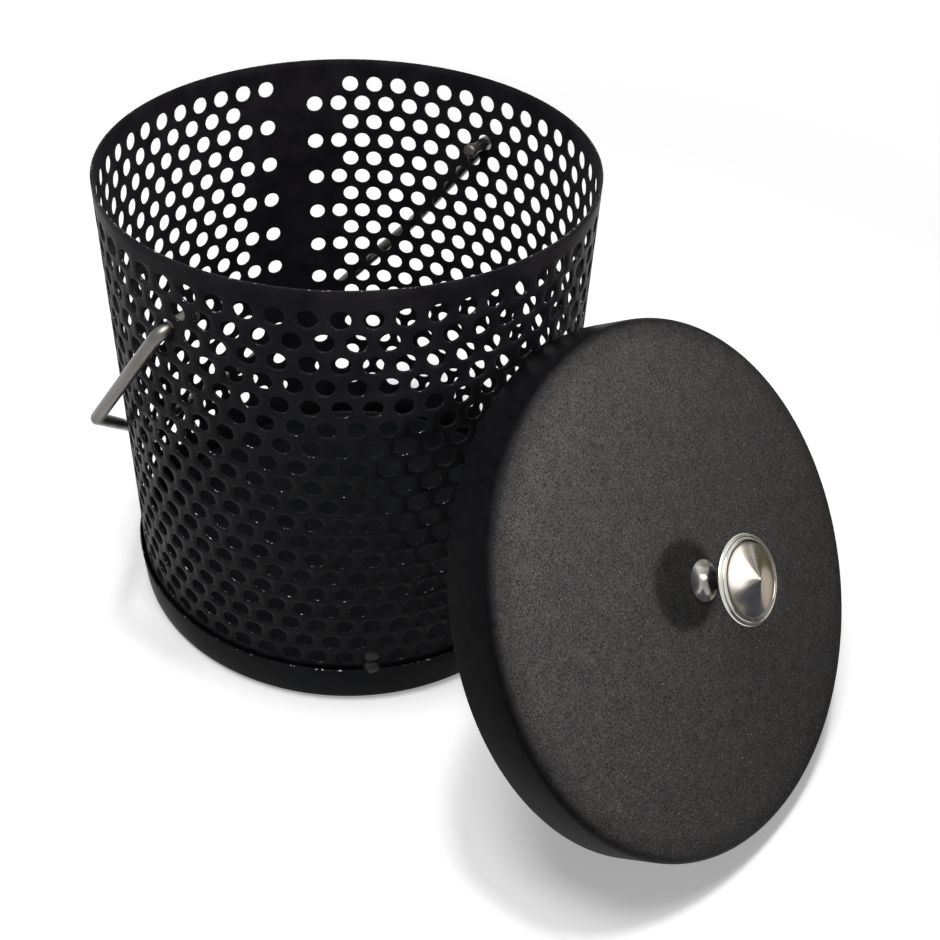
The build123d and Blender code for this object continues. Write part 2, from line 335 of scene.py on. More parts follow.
def plain_quad(name, corners, shader_setup):
    """A stage quad through four corners in metres, with a material that shader_setup fills."""
    mesh = bpy.data.meshes.new(name)
    mesh.from_pydata(corners, [], [(0, 1, 2, 3)])
    quad = bpy.data.objects.new(name, mesh)
    bpy.context.scene.collection.objects.link(quad)
    paint = bpy.data.materials.new(name + "_paint")
    paint.use_nodes = True
    shader_setup(paint.node_tree)
    mesh.materials.append(paint)
    return quad


def floor_shader(tree):
    """White paper that glows where it is seen directly: a little near by, and fully far away."""
    shader = tree.nodes["Principled BSDF"]
    shader.inputs["Base Color"].default_value = (FLOOR_COLOUR,) * 3 + (1,)
    shader.inputs["Roughness"].default_value = FLOOR_ROUGH
    shader.inputs["Specular IOR Level"].default_value = 0.0
    shader.inputs["Emission Color"].default_value = (1, 1, 1, 1)
    place = node(tree, "TexCoord").outputs["Object"]
    distance = node(tree, "VectorMath", operation="LENGTH", in0=place).outputs["Value"]
    glow = spread(tree, distance, *PAPER_SWEEP, FLOOR_GLOW, 1.0)
    tree.links.new(times(tree, seen_directly(tree), glow), shader.inputs["Emission Strength"])


far = FLOOR_SIZE / 2
floor = plain_quad("floor", [(-far, -far, 0), (far, -far, 0), (far, far, 0), (-far, far, 0)],
                   floor_shader)
print("white floor and world")

# %% [markdown]
# ## Cards for the metal
# Bright metal shows nothing but its surroundings, and in a white room it turns flat. So
# photographers stand cards around it. A white one gives the knob one bright flank, warm, olive
# and slate ones give the others their colours, and a large grey one stands behind them all. They
# are seen by mirrors only, so they neither light nor shade anything.

# %% Cards
CARDS = {
    # name: its middle and its two half sides in millimetres, and its colour
    "grey_card": ((1400, 0, 760), (0, 1700, 0), (0, 0, 750), (0.34, 0.32, 0.29)),
    "white_card": ((760, -190, 470), (110, 250, 0), (-70, 30, 180), (1.9, 1.87, 1.8)),
    "warm_card": ((285, -10, 1), (150, 0, 0), (0, 118, 0), (0.55, 0.49, 0.41)),
    "olive_card": ((1100, 500, 2), (690, 0, 0), (0, 560, 0), (0.13, 0.11, 0.07)),
    "olive_screen": ((903, 336, 96), (-95, 172, 0), (0, 0, 92), (0.13, 0.11, 0.07)),
    "light_strip": ((903, 336, 232), (-95, 172, 0), (0, 0, 12), (1.6, 1.55, 1.5)),
    "slate_card": ((960, -590, 2), (760, 0, 0), (0, 500, 0), (0.07, 0.07, 0.085)),
    "slate_screen": ((682, -512, 130), (118, 162, 0), (0, 0, 120), (0.09, 0.09, 0.11)),
}


def card(name, middle, side, rise, colour):
    """A glowing rectangle that only mirrors see."""

    def glow(tree):
        shader = tree.nodes["Principled BSDF"]
        shader.inputs["Base Color"].default_value = (0, 0, 0, 1)
        shader.inputs["Specular IOR Level"].default_value = 0.0
        shader.inputs["Emission Color"].default_value = (*colour, 1)
        shader.inputs["Emission Strength"].default_value = 1.0

    middle, side, rise = (Vector(v) * MM for v in (middle, side, rise))
    corners = [middle - side - rise, middle + side - rise,
               middle + side + rise, middle - side + rise]
    made = plain_quad(name, corners, glow)
    made.visible_camera = made.visible_diffuse = made.visible_shadow = False
    made.visible_transmission = made.visible_volume_scatter = False


for card_name, card_settings in CARDS.items():
    card(card_name, *card_settings)
print(len(CARDS), "cards")

# %% [markdown]
# ## Lamps
# Soft boxes are area lamps. One stands low on the right and lays the knob's soft shadow on the
# lid. A near one, up on the left, falls off over the lid and leaves its lower right in the shade.
# Two hang nearly overhead, so that the shadows on the floor stay narrow. Flags keep the first two
# off the floor and the overhead ones off the lid, which light linking does here. The first two
# are strong: they light the lid more than a plain level would, so its coat is written darker.

# %% Lamps
LAMPS = {
    # name: where it stands and what it faces, in millimetres, its width in metres, its power,
    # whether mirrors see it
    "right_box": ((1520, -500, 740), (116, -100, 82), 0.27, 31.0, False),
    "near_box": ((-8, -155, 379), (105, -60, 110), 0.22, 1.2, True),
    "top_box": ((0, -45, 1350), (20, -40, 60), 0.16, 7.6, False),
    "front_top_box": ((-260, -240, 1300), (20, -40, 60), 0.34, 6.6, False),
}


def area_lamp(name, at, to, width, watts, in_mirrors):
    """A square lamp at one point that faces another."""
    lamp = bpy.data.lights.new(name, "AREA")
    lamp.size = width
    lamp.energy = watts
    holder = bpy.data.objects.new(name, lamp)
    bpy.context.scene.collection.objects.link(holder)
    holder.location = Vector(at) * MM
    holder.rotation_euler = (Vector(to) - Vector(at)).to_track_quat("-Z", "Y").to_euler()
    holder.visible_camera = False
    holder.visible_glossy = in_mirrors
    return holder


def flag_off(flagged, piece):
    """Keeps the lamps that have this collection as their list of receivers off the piece."""
    flagged.objects.link(piece)
    flagged.collection_objects[-1].light_linking.link_state = "EXCLUDE"


off_floor = bpy.data.collections.new("off_floor")
off_lid = bpy.data.collections.new("off_lid")
flag_off(off_floor, floor)
for lamp_name, lamp_settings in LAMPS.items():
    lamp_flags = off_lid if "top" in lamp_name else off_floor
    area_lamp(lamp_name, *lamp_settings).light_linking.receiver_collection = lamp_flags
print(len(LAMPS), "lamps")

# %% [markdown]
# ## The perforated wall
# The real wall is a sheet that was punched flat and rolled. Its thousand holes could be cut with
# booleans, which is slow and leaves ragged triangles. Here every hole sits in a cell of a grid:
# a ring of twenty quads joins the cell's border to the hole, a narrow ring rounds the punched
# edge, and a third runs through the sheet. Every other row is set off by half a pitch, and since
# each border point lies on a sixth of the pitch, the rows still share their points.

# %% Sizes of the wall
RIM_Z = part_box("basket_wall")[1].z / MM
FOOT_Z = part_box("basket_wall")[0].z / MM
WALL_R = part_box("basket_wall")[1].x / MM
SHEET = 0.8
HOLE_D = 6.35
HOLE_R = HOLE_D / 2
HOLE_PITCH = 9.525
HOLE_ROUND = 0.12               # rounding of the punched edge
ROW_PITCH = 8.0
ROWS = 19
COLUMNS = 53
WALL_MIDDLE = WALL_R - SHEET / 2
PITCH_DEG = float(np.degrees(HOLE_PITCH / WALL_MIDDLE))
FIRST_COLUMN_DEG = -3.04        # from the back, towards the right
ODD_ROW_SHIFT = -1.5            # in columns
RIM_MARGIN = 9.9                # from the rim down to the centres of the top row
TOP_ROW_Z = RIM_Z - RIM_MARGIN
STEPS = 6                       # border points to a pitch
LINES = 4                       # border points to a row
print(f"wall {2 * WALL_R:.1f} mm across, {RIM_Z:.1f} mm high, {ROWS * COLUMNS} holes")

# %% Lay out the grid of cells
last_step = round((COLUMNS - ODD_ROW_SHIFT + 0.5) * STEPS)
even_steps = np.arange(last_step + 1) / STEPS + ODD_ROW_SHIFT - 0.5
round_columns = 360 / PITCH_DEG
gap = even_steps[0] + round_columns - even_steps[-1]
seam_steps = even_steps[-1] + gap * np.array([1, 2]) / 3
column_at = np.concatenate([even_steps, seam_steps])
line_z = TOP_ROW_Z + ROW_PITCH / 2 - np.arange(ROWS * LINES + 1) * ROW_PITCH / LINES
print(f"{len(column_at)} points round, {len(line_z)} lines up, seam gap {gap:.2f} columns")


def on_drum(columns, z, radius):
    """Column c is at angle first + c pitch from the back: the point is (r sin, r cos, z)."""
    a = np.radians(FIRST_COLUMN_DEG + columns * PITCH_DEG)
    columns_there, z_there = np.broadcast_arrays(columns, z)
    return np.stack([radius * np.sin(a) + 0 * z_there, radius * np.cos(a) + 0 * z_there,
                     z_there + 0 * columns_there], axis=-1)


# %% Cells and rings
around = len(column_at)
lines = len(line_z)
cell_row, cell_column = (a.ravel() for a in np.meshgrid(np.arange(ROWS), np.arange(COLUMNS),
                                                        indexing="ij"))
odd = cell_row % 2
cell_left = np.where(odd == 1, 0, round(-ODD_ROW_SHIFT * STEPS)) + cell_column * STEPS
cell_top = cell_row * LINES
across_cell = np.arange(STEPS)
down_cell = np.arange(LINES)
border_x = np.concatenate([across_cell, np.full(LINES, STEPS),
                           STEPS - across_cell, np.zeros(LINES, int)])
border_y = np.concatenate([np.zeros(STEPS, int), down_cell,
                           np.full(STEPS, LINES), LINES - down_cell])
ring = len(border_x)
border = (cell_top[:, None] + border_y) * around + (cell_left[:, None] + border_x) % around
print(f"{len(border)} cells with {ring} border points each")

hole_column = cell_column + ODD_ROW_SHIFT * odd
hole_z = TOP_ROW_Z - cell_row * ROW_PITCH
ring_deg = np.degrees(np.arctan2(LINES / 2 - border_y, (border_x - STEPS / 2) * LINES / STEPS))
ring_x = np.cos(np.radians(ring_deg))
ring_y = np.sin(np.radians(ring_deg))


def hole_ring(hole_radius, drum_radius):
    """A circle in the unrolled sheet: its x is bent round the drum and its y runs up."""
    to_column = np.degrees(hole_radius / WALL_MIDDLE) / PITCH_DEG
    columns = hole_column[:, None] + to_column * ring_x
    return on_drum(columns, hole_z[:, None] + hole_radius * ring_y, drum_radius).reshape(-1, 3)


# %% The plain strip
gap_cell = np.ones((lines - 1, around), bool)
gap_cell[(cell_top[:, None] + np.repeat(down_cell, STEPS)).ravel(),
         ((cell_left[:, None] + np.tile(across_cell, LINES)) % around).ravel()] = False
gap_line, gap_step = np.nonzero(gap_cell)
gap_next = (gap_step + 1) % around
gap_quads = np.stack([gap_line * around + gap_step, gap_line * around + gap_next,
                      (gap_line + 1) * around + gap_next, (gap_line + 1) * around + gap_step], axis=1)

print(f"{len(gap_quads)} quads fill what the cells leave")

# %% Profiles of the rim and the foot
INNER_R = WALL_R - SHEET
EDGE = 0.15                     # rounding of the rim and the foot
RIM_LINES = (RIM_Z - 3.0, RIM_Z - EDGE)
FOOT_LINES = (9.0, FOOT_Z + EDGE)

outer_lines = on_drum(column_at, line_z[:, None], WALL_R).reshape(-1, 3)
inner_lines = on_drum(column_at, line_z[:, None], INNER_R).reshape(-1, 3)
edge_profile = [(WALL_R, z) for z in RIM_LINES]
edge_profile += [(WALL_R - EDGE, RIM_Z), (INNER_R + EDGE, RIM_Z)]
edge_profile += [(INNER_R, z) for z in RIM_LINES[::-1]]
foot_profile = [(WALL_R, z) for z in FOOT_LINES]
foot_profile += [(WALL_R - EDGE, FOOT_Z), (INNER_R + EDGE, FOOT_Z)]
foot_profile += [(INNER_R, z) for z in FOOT_LINES[::-1]]

cells = len(border)
rings = [hole_ring(HOLE_R + HOLE_ROUND, WALL_R), hole_ring(HOLE_R, WALL_R - HOLE_ROUND),
         hole_ring(HOLE_R, INNER_R)]
blocks = [outer_lines, inner_lines] + rings
blocks += [on_drum(column_at, z, r) for r, z in edge_profile + foot_profile]
starts = np.cumsum([0] + [len(b) for b in blocks])
wall_points = np.concatenate(blocks)
print(f"{len(wall_points)} points in {len(blocks)} blocks")


# %% Ways to join rings and lines
def ring_index(k):
    """The point numbers of ring k: one row per hole."""
    return starts[2 + k] + np.arange(cells * ring).reshape(cells, ring)


def between(first, second):
    """Quads between two closed rings of the same count, for every hole at once."""
    return np.stack([first, np.roll(first, -1, axis=1), np.roll(second, -1, axis=1), second],
                    axis=-1).reshape(-1, 4)


def strips(chain):
    """Quads between each line of points round the drum and the next in the chain."""
    closed = np.stack(chain)
    return np.stack([closed[:-1], np.roll(closed, -1, axis=1)[:-1], np.roll(closed, -1, axis=1)[1:],
                     closed[1:]], axis=-1).reshape(-1, 4)


def whole_line(start):
    """The point numbers of one line round the drum."""
    return start + np.arange(around)


print("joins ready")

# %% Stitch both skins together
first_edge = 2 + len(rings)
rim_chain = [whole_line(0)]
rim_chain += [whole_line(starts[first_edge + k]) for k in range(len(edge_profile))]
rim_chain += [whole_line(starts[1])]
first_foot = first_edge + len(edge_profile)
foot_chain = [whole_line((lines - 1) * around)]
foot_chain += [whole_line(starts[first_foot + k]) for k in range(len(foot_profile))]
foot_chain += [whole_line(starts[1] + (lines - 1) * around)]

wall_quads = np.concatenate([
    between(border, ring_index(0)),
    between(ring_index(0), ring_index(1)),
    between(ring_index(1), ring_index(2)),
    between(ring_index(2), border + starts[1]),
    gap_quads,
    gap_quads[:, ::-1] + starts[1],
    strips(rim_chain)[:, ::-1],
    strips(foot_chain),
])
used, wall_quads = np.unique(wall_quads, return_inverse=True)
wall_quads = wall_quads.reshape(-1, 4)
no_triangles = np.zeros((0, 3), int)
edge_mark = np.zeros(len(wall_points))
edge_mark[starts[3]:starts[4]] = 1
edge_mark[starts[first_edge + 2]:starts[first_edge + 4]] = 1
perforated_wall = mesh_piece("perforated_wall", wall_points[used], wall_quads, no_triangles, 60,
                             {"edge": edge_mark[used]})
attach(perforated_wall, "bucket")
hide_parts("basket_wall")

# %% [markdown]
# ## Wall finish
# The wall is coated after punching. The coat is nearly black with a breath of violet, satin, and
# a little uneven where it ran. It is thinnest on the punched edges and on the rim, so there a few
# spots of bare steel shine through. The mesh marks those edges, and a noise picks the spots.

# %% Wall finish
WALL_DARK = (0.0036, 0.0033, 0.0042)
WALL_PALE = (0.0075, 0.0068, 0.0078)
BARE_STEEL = (0.23, 0.22, 0.21)
COAT_SPECKLE = (0.035, 0.035, 0.037)
COAT_GLOSS = 0.035              # specular level: this coat shines far less than a gloss paint
WALL_ROUGH = (0.34, 0.5)
WALL_PATCH = 9.0                # size of the uneven patches
WALL_BARE = 0.02                # how much of the worn edges is bare


def worn_coat(name, dark, pale, specular, roughness, patch_mm, bare_share, seed):
    """A black coat in two tones, with an orange-peel surface, bare where the mark edge says so."""
    made, tree, shader, place = new_finish(name, specular)
    patches = spread(tree, noise(tree, patch_mm, place, 3, seed), 0.35, 0.65)
    spots = noise(tree, 1.1, place, 2, seed + 1)
    spots = spread(tree, spots, 0.64 - bare_share, 0.68 - bare_share)
    bare = times(tree, spots, spread(tree, mark_value(tree, "edge"), 0.55, 0.85))
    fine = noise(tree, 0.5, place, 2, seed + 2)
    speckle = spread(tree, noise(tree, 0.28, place, 1, seed + 3), 0.72, 0.76, 0, 0.5)
    coat_colour = mixed(tree, speckle, mixed(tree, patches, dark, pale), COAT_SPECKLE)
    rough = spread(tree, noise(tree, 2 * patch_mm, place, 2, seed + 4), 0.3, 0.7, *roughness)
    peel = relief(tree, noise(tree, 1.8, place, 1, seed + 5), 0.03)
    connect(tree, shader, mixed(tree, bare, coat_colour, BARE_STEEL), rough,
            relief(tree, fine, 0.012, below=peel), metallic=bare)
    return made


dress(perforated_wall, worn_coat("wall_black", WALL_DARK, WALL_PALE, COAT_GLOSS, WALL_ROUGH,
                                 WALL_PATCH, WALL_BARE, seed=3.0))

# %% [markdown]
# ## The two pans
# Base and lid are pressed from one disc each: a floor, a rounded corner, a short flared side.
# A lathe profile says it all. The lid's floor is the cap of a very large ball, which is what
# keeps it stiff, and the base's is flat so that it stands still.

# %% Pan section
PAN_SHEET = 0.8
PAN_DEPTH = 16.8
PAN_CORNER = 3.0
PAN_RIM_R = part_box("base_pan")[1].x / MM
PAN_FLARE = 0.8
PAN_FLOOR_R = PAN_RIM_R - PAN_FLARE
LID_CROWN = 5.0
RIM_ROUND = 0.3                 # rounding of the pan's cut edge
SCREW_HOLE_R = 2.3
CORNER_STEPS = 10
CROWN_STEPS = 14
LIP_STEPS = 6
PAN_SPOKES = 320


def pan_floor(inset, crown, start_r):
    """A ball's cap: its height falls from crown to 0 as r squared over the floor's radius."""
    end_r = PAN_FLOOR_R - PAN_CORNER
    r = np.linspace(start_r, end_r, CROWN_STEPS + 1)
    return np.stack([r, inset - crown * (1 - (r / PAN_FLOOR_R) ** 2)], axis=1)


def pan_section(crown, start_r):
    """Outside of the floor, corner, side, the rounded cut edge, and the same way back inside."""
    slope = np.degrees(np.arctan2(PAN_FLARE, PAN_DEPTH))
    tangent = np.degrees(np.arctan2(2 * crown * (PAN_FLOOR_R - PAN_CORNER), PAN_FLOOR_R**2))
    outside_floor = pan_floor(0, crown, start_r)
    drop = outside_floor[-1, 1]
    centre = (PAN_FLOOR_R - PAN_CORNER, PAN_CORNER + drop)
    outside_corner = arc(centre, PAN_CORNER, tangent - 90, -slope, CORNER_STEPS)
    inside_corner = arc(centre, PAN_CORNER - PAN_SHEET, -slope, tangent - 90, CORNER_STEPS)
    top = PAN_DEPTH - RIM_ROUND
    lip = arc((PAN_RIM_R - PAN_SHEET / 2, top), PAN_SHEET / 2, 0, 180, LIP_STEPS)
    lip[:, 1] = top + (lip[:, 1] - top) * RIM_ROUND / (PAN_SHEET / 2)
    inside_floor = pan_floor(PAN_SHEET, crown, start_r)[::-1]
    return np.concatenate([outside_floor, outside_corner[1:], lip, inside_corner, inside_floor[1:]])


def lip_mark(section):
    """1 on the rounded cut edge and 0 elsewhere."""
    return (section[:, 1] > PAN_DEPTH - RIM_ROUND + 0.01).astype(float)


base_seat = (np.zeros(3), np.array([1.0, 0, 0]), np.array([0, 0, 1.0]))
base_section = pan_section(0.0, 0.0)
stand_pan = turned("stand_pan", base_section, base_seat, PAN_SPOKES,
                   {"edge": lip_mark(base_section)})
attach(stand_pan, "bucket")
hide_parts("base_pan")

# %% [markdown]
# ## Base finish
# The pan's coat is the same kind but bluer and smoother, since no holes drag at it. Along the cut
# edge of the side a few pale chips show, where the wall was pushed in.

# %% Base finish
PAN_DARK = (0.0026, 0.0029, 0.0035)
PAN_PALE = (0.005, 0.0054, 0.0064)
PAN_ROUGH = (0.3, 0.44)
PAN_PATCH = 16.0
PAN_BARE = 0.035

dress(stand_pan, worn_coat("pan_black", PAN_DARK, PAN_PALE, COAT_GLOSS, PAN_ROUGH,
                           PAN_PATCH, PAN_BARE, seed=11.0))

# %% [markdown]
# ## Where the lid stands
# The lid stands on the edge of its side and leans on the wall, so its place follows from two
# angles: how far its face leans back, and which way it looks. Turning a finished mesh by hand
# would do as well, but then nothing would say why it stands there.

# %% Lid seat
LID_LEAN = np.radians(36.5)     # tilt of the face back from upright
LID_FACING = np.radians(49.2)   # where the face looks, from the front towards the right
LEAN_GAP = 0.3                  # between the lid's edge and the wall

facing_level = np.array([np.sin(LID_FACING), -np.cos(LID_FACING), 0])
lid_across = np.array([np.cos(LID_FACING), np.sin(LID_FACING), 0])
face_normal = facing_level * np.cos(LID_LEAN) + np.array([0, 0, np.sin(LID_LEAN)])
lid_out = PAN_DEPTH * np.cos(LID_LEAN) + PAN_RIM_R * np.sin(LID_LEAN) + WALL_R + LEAN_GAP
lid_up = PAN_DEPTH * np.sin(LID_LEAN) + PAN_RIM_R * np.cos(LID_LEAN)
lid_origin = facing_level * lid_out + np.array([0, 0, lid_up])
lid_seat = (lid_origin, lid_across, -face_normal)
knob_seat = (lid_origin + face_normal * LID_CROWN, lid_across, face_normal)


# %% Lid
PAINTED_LIGHT_DEG = 233.0                # where the end with painted light lies, counted round the seat from across
FACE_EDGE = 0.5                 # from the floor's outline in to where the face's colour ends
FACE_FADE_AND_SHADE = 4.0                 # ... and how wide it fades out, painting shade on the face next to the rounded corner

lid_section = pan_section(LID_CROWN, SCREW_HOLE_R)
# The face's colour fades out before the corner: painted shade where the corner turns from the light
face_mark = np.clip((PAN_FLOOR_R - FACE_EDGE - lid_section[:, 0]) / FACE_FADE_AND_SHADE, 0, 1)
face_mark[CROWN_STEPS + CORNER_STEPS + 1:] = 0
round_lid = np.arange(PAN_SPOKES) * FULL_TURN / PAN_SPOKES - np.radians(PAINTED_LIGHT_DEG)
# Painted light and shade: how far a point lies towards the painted light, from -1 to 1
lid_light_and_shade_mark = lid_section[:, :1] / PAN_RIM_R * np.cos(round_lid)
leaning_lid = turned("leaning_lid", lid_section, lid_seat, PAN_SPOKES,
                     {"face": face_mark, "pale": lid_light_and_shade_mark}, closed=True)
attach(leaning_lid, "lid")
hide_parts("lid_pan")
flag_off(off_lid, leaning_lid)

# %% [markdown]
# ## Lid finish
# The lid's face is powder coated in charcoal, dry and grainy like fine sandpaper, with warm and
# cool clouds and tiny painted glints. The rounded corner and the side are plain black. One mark on
# the mesh tells the face from the side, and another says how far a point lies towards the painted
# light: the colour is a third as strong at the painted shade end, lower right. Part of the shading
# on the lid comes from the near lamp and this painted light and shade gives the rest, so it stays
# there in any light.

# %% Lid finish
CHARCOAL_WARM = (0.0358, 0.0331, 0.0318)
CHARCOAL_COOL = (0.0312, 0.0303, 0.0301)
PAINTED_GLINT = (0.28, 0.27, 0.26)
SIDE_DARK = (0.0022, 0.0023, 0.0028)
SIDE_PALE = (0.0045, 0.0045, 0.0052)
LID_GLOSS = 0.022               # specular level
PAINTED_SHADE_END = 0.41             # the colour's strength at the painted shade end and the painted light end
PAINTED_LIGHT_END = 1.28
SIDE_ROUGH = 0.42
FACE_ROUGH = 0.72
GRAIN_SIZE = 0.55
GRAIN_DEPTH = 0.15


def powder_coat(name):
    """Two tones in clouds, a grain that darkens and lightens them, painted light and shade, painted
    glints, and a black side.
    """
    made, tree, shader, place = new_finish(name, LID_GLOSS)
    clouds = spread(tree, noise(tree, 9.0, place, 3, 5.0), 0.36, 0.64)
    tone = mixed(tree, clouds, CHARCOAL_COOL, CHARCOAL_WARM)
    grain = noise(tree, GRAIN_SIZE, place, 2, 6.0)
    blotch = noise(tree, 3.5, place, 2, 7.0)
    shade = times(tree, spread(tree, grain, 0.3, 0.7, 0.3, 1.7),
                  spread(tree, blotch, 0.25, 0.75, 0.85, 1.15))
    # Painted light and shade: the colour is stronger towards the lit end and weaker towards the
    # shaded end
    painted_light_share = spread(tree, mark_value(tree, "pale"), -1, 1, PAINTED_SHADE_END, PAINTED_LIGHT_END)
    shade = times(tree, shade, painted_light_share)
    face_colour = node(tree, "VectorMath", operation="SCALE", in0=tone, Scale=shade).outputs[0]
    # Painted glints: tiny pale specks in the colour
    painted_glints = spread(tree, noise(tree, 0.33, place, 1, 8.0), 0.71, 0.77)
    face_colour = mixed(tree, painted_glints, face_colour, PAINTED_GLINT)
    side_colour = mixed(tree, spread(tree, blotch, 0.3, 0.7), SIDE_DARK, SIDE_PALE)
    face = mark_value(tree, "face")
    rough = spread(tree, face, 0, 1, SIDE_ROUGH, FACE_ROUGH)
    coarse = relief(tree, times(tree, blotch, face), 0.05)
    grain_there = times(tree, grain, spread(tree, face, 0, 1, 0.15, 1.0))
    connect(tree, shader, mixed(tree, face, side_colour, face_colour), rough,
            relief(tree, grain_there, GRAIN_DEPTH, below=coarse))
    return made


dress(leaning_lid, powder_coat("lid_charcoal"))

# %% [markdown]
# ## The knob
# The knob is one piece from the lathe: a foot like a small trumpet, a thin stem that flares into a
# head with two beads round it, and a low hollow cone inside them. Its section has the solid's
# main sizes. Beyond them, the beads climb in steps, the cone starts higher and the foot is more
# hollow than the solid's, by up to 1.3 mm, and the foot's edge is rounded as polishing leaves it.

# %% Knob section
FOOT_R = 13.3 / 2
STEM_R = 2.9
HEAD_R = 28.3 / 2
KNOB_HEIGHT = 22.2
EDGE_BELOW_TIP = 4.2            # from the tip down to the solid's rim bead
EDGE_T = 1.5
HEAD_UNDER = KNOB_HEIGHT - EDGE_BELOW_TIP - EDGE_T
FOOT_EDGE = 0.9
SKIRT_LENGTH = 4.1
FLARE_LENGTH = 4.4
BEAD_W = 1.15
BEAD_T = 0.5
CONE_SAG = 0.5
CONE_NOTCH = 0.1                # how far the cone's foot lies in and below the beads
BEAD_RISE = 0.6                 # each bead starts this much above the one outside it
RIM_LIFT = 0.15                 # straight part of the rim under the outer bead
SKIRT_SAG = 0.8
SKIRT_MID = 0.45                # share of the skirt's height where it sags
FLARE_MID_OUT = 0.34            # the flare passes this share of its width ...
FLARE_MID_DOWN = 0.3            # ... at this share of its length below the head
BORE_R = 2.06
BORE_DEPTH = 12.0
FOOT_ROUND = 0.3

inner_bead_r = HEAD_R - BEAD_W
cone_r = inner_bead_r - BEAD_W
rim_top = HEAD_UNDER + BEAD_T + RIM_LIFT
cone_foot = rim_top + 2 * BEAD_RISE - CONE_NOTCH
skirt_mid = ((FOOT_R + STEM_R) / 2 - SKIRT_SAG, FOOT_EDGE + SKIRT_LENGTH * SKIRT_MID)
flare_mid = (STEM_R + (HEAD_R - STEM_R) * FLARE_MID_OUT,
             HEAD_UNDER - FLARE_LENGTH * FLARE_MID_DOWN)
cone_mid = (cone_r / 2, (cone_foot + KNOB_HEIGHT) / 2 - CONE_SAG)


def bead(outside_r, foot_z, steps=8):
    """Half a flattened circle over a line that climbs by BEAD_RISE towards the middle."""
    half_round = arc((outside_r - BEAD_W / 2, 0), BEAD_W / 2, 0, 180, steps)
    climb = (outside_r - half_round[:, 0]) / BEAD_W * BEAD_RISE
    half_round[:, 1] = foot_z + climb + half_round[:, 1] * BEAD_T / (BEAD_W / 2)
    return half_round


knob_section = np.concatenate([
    [(0, BORE_DEPTH), (BORE_R, BORE_DEPTH), (BORE_R, 0), (FOOT_R - FOOT_ROUND, 0)],
    arc((FOOT_R - FOOT_ROUND, FOOT_ROUND), FOOT_ROUND, -90, 0, 4),
    bow((FOOT_R, FOOT_EDGE), skirt_mid, (STEM_R, FOOT_EDGE + SKIRT_LENGTH), 12),
    bow((STEM_R, HEAD_UNDER - FLARE_LENGTH), flare_mid, (inner_bead_r, HEAD_UNDER), 12),
    arc((HEAD_R - BEAD_T, HEAD_UNDER + BEAD_T), BEAD_T, -60, 0, 5),
    bead(HEAD_R, rim_top),
    bead(inner_bead_r, rim_top + BEAD_RISE)[1:],
    bow((cone_r - CONE_NOTCH, cone_foot), cone_mid, (0, KNOB_HEIGHT), 16),
])
knob_section[:, 0] = np.maximum(knob_section[:, 0], 0)
knob_steps = np.diff(knob_section, axis=0, prepend=knob_section[:1])
way_mark = np.cumsum(np.linalg.norm(knob_steps, axis=1))
print(f"knob section of {len(knob_section)} points")

# %% Where shade is painted on the knob
section_r = knob_section[:, 0]
on_head = knob_section[:, 1] > HEAD_UNDER
# Painted shade: where the cone meets the beads, between the beads, and round the stem under the head
at_cone = np.interp(section_r, (cone_r - 1.6, cone_r - 0.1, cone_r + 0.2, cone_r + 0.4),
                    (0, 1, 1, 0))
at_beads = np.interp(section_r, (inner_bead_r - 0.2, inner_bead_r, inner_bead_r + 0.2), (0, 0.6, 0))
at_stem = np.interp(section_r, (STEM_R, STEM_R + 0.7, FOOT_R - 1.2), (0.95, 0.8, 0))
knob_shade_mark = on_head * np.maximum(at_cone, at_beads) + ~on_head * at_stem
turned_knob = turned("turned_knob", knob_section, knob_seat, 160,
                     {"way": way_mark * MM, "painted_shade": knob_shade_mark, "head": on_head * 1.0},
                     sharp_deg=60)
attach(turned_knob, "lid")
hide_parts("lid_knob")

# %% [markdown]
# ## Knob finish
# The knob is nickel plated and satin: it was polished on the lathe, so very fine rings run round
# it and blur what it mirrors. The rings follow the section, so the mesh carries the way along
# the section as a mark, and a noise of that one number is the same all round. Other marks say
# where shade is painted, in the grooves and round the stem under the head, and where the head's
# finer polish is.

# %% Knob finish
NICKEL_DARK = (0.58, 0.56, 0.52)
NICKEL_PALE = (0.68, 0.66, 0.62)
KNOB_PAINTED_SHADE = (0.10, 0.09, 0.08)
RING_DEPTH = 0.0012


def turned_nickel(name):
    """Nickel with lathe rings and dull clouds, duller below the head, with painted shade in its
    grooves and round its stem.
    """
    made, tree, shader, place = new_finish(name, 0.5, metallic=1.0)
    lathe = node(tree, "CombineXYZ", X=mark_value(tree, "way")).outputs[0]
    rings = noise(tree, 0.12, lathe, 2, 21.0)
    clouds = spread(tree, noise(tree, 3.0, place, 3, 22.0), 0.3, 0.7)
    rough = plus(tree, spread(tree, rings, 0.3, 0.7, 0.12, 0.17),
                 spread(tree, clouds, 0, 1, 0.0, 0.05))
    rough = plus(tree, rough, spread(tree, mark_value(tree, "head"), 0, 1, 0.06, 0.0))
    nickel = mixed(tree, clouds, NICKEL_DARK, NICKEL_PALE)
    # Painted shade: darker in the grooves and round the stem under the head
    painted_shade_share = spread(tree, mark_value(tree, "painted_shade"), 0, 1, 0, 0.85)
    connect(tree, shader, mixed(tree, painted_shade_share, nickel, KNOB_PAINTED_SHADE), rough,
            relief(tree, rings, RING_DEPTH))
    return made


dress(turned_knob, turned_nickel("satin_nickel"))

# %% [markdown]
# ## The bail
# The bail is a rod bent at six corners, with both ends swaged so that they can't slip out of
# their holes. A curve with a bevel would make the tube, but not the swaged ends, so the tube is
# a row of circles set square to the path, and their radius is free to change on the way.

